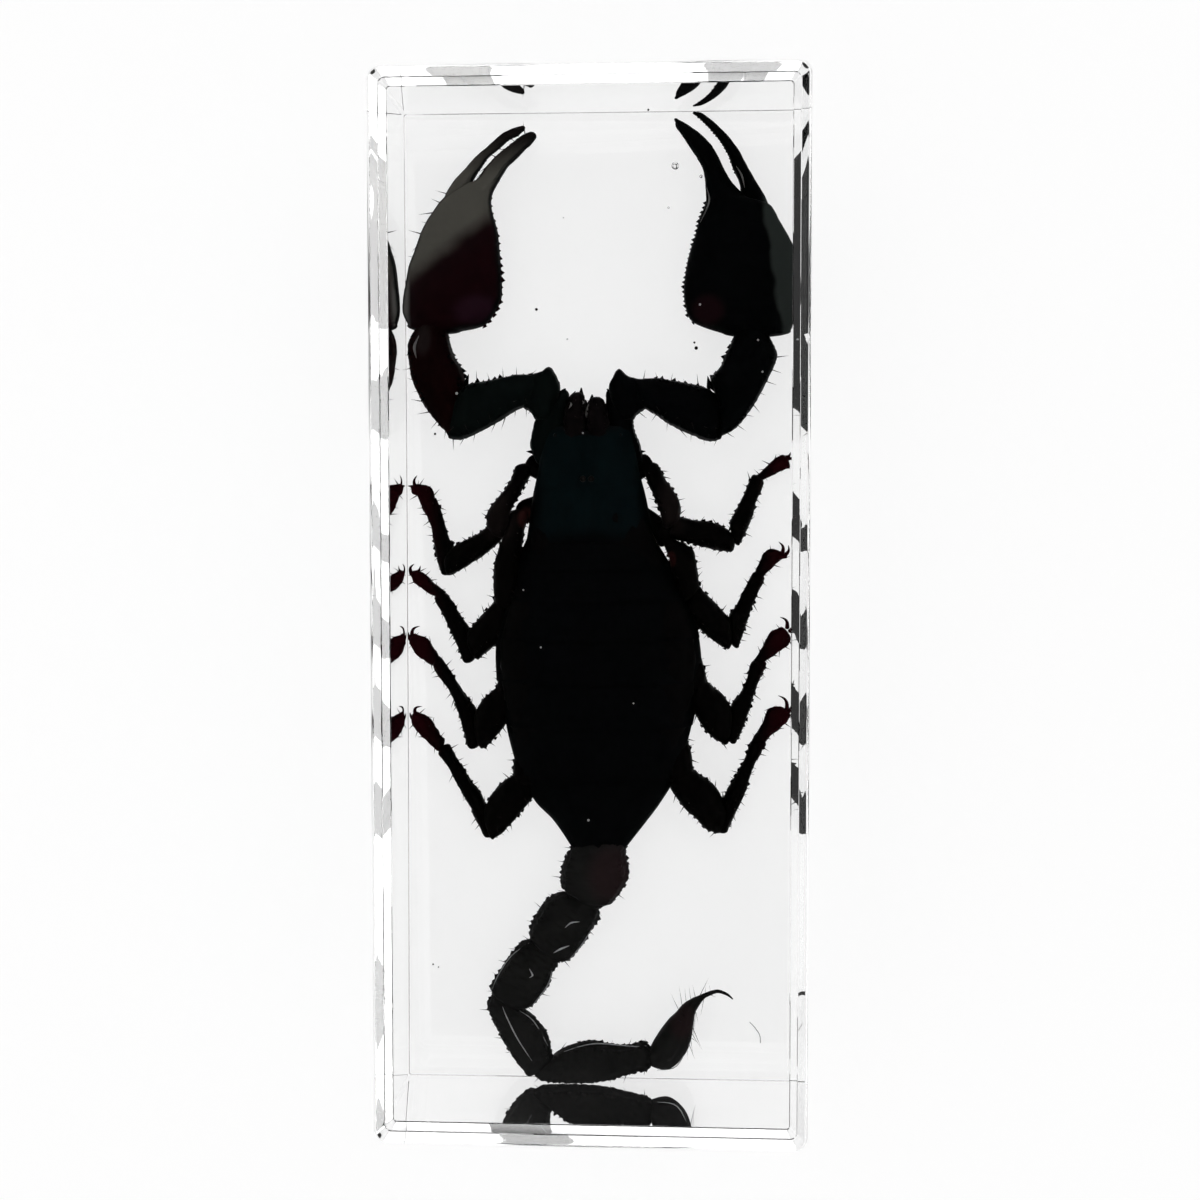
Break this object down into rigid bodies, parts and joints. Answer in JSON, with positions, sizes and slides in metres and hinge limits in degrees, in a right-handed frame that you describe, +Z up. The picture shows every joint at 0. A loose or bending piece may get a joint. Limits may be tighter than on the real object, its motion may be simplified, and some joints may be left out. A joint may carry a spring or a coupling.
{
  "type": "scorpion in resin block",
  "caption": "Long clear casting-resin block with polished faces and a raised lip round the top, sealing a dark, spread forest scorpion near its base.",
  "frame": {"origin": "centre of the block's base face, on the surface it rests on", "axes": "+Y along the block towards the scorpion's claws, +X to the scorpion's right-hand side seen from above, +Z up from the base"},
  "size_m": [0.045, 0.111, 0.0277],
  "materials": {
    "clear_resin": "water-clear casting resin, sanded flat and buffed to a gloss",
    "dark_cuticle": "blue-black horny cuticle, finely granular, wet-looking inside the resin",
    "claw_cuticle": "black claw cuticle with grey bloom towards the fingers and maroon in the thin places",
    "leg_cuticle": "dark brown leg cuticle turning maroon at the feet",
    "joint_membrane": "soft brown skin between the hard plates",
    "bristle": "fine dark brown hairs",
    "air_film": "thin silvery air trapped between cuticle and resin"
  },
  "bodies": {
    "root": {"resin_block": "clear_resin"}
  },
  "joints": []
}
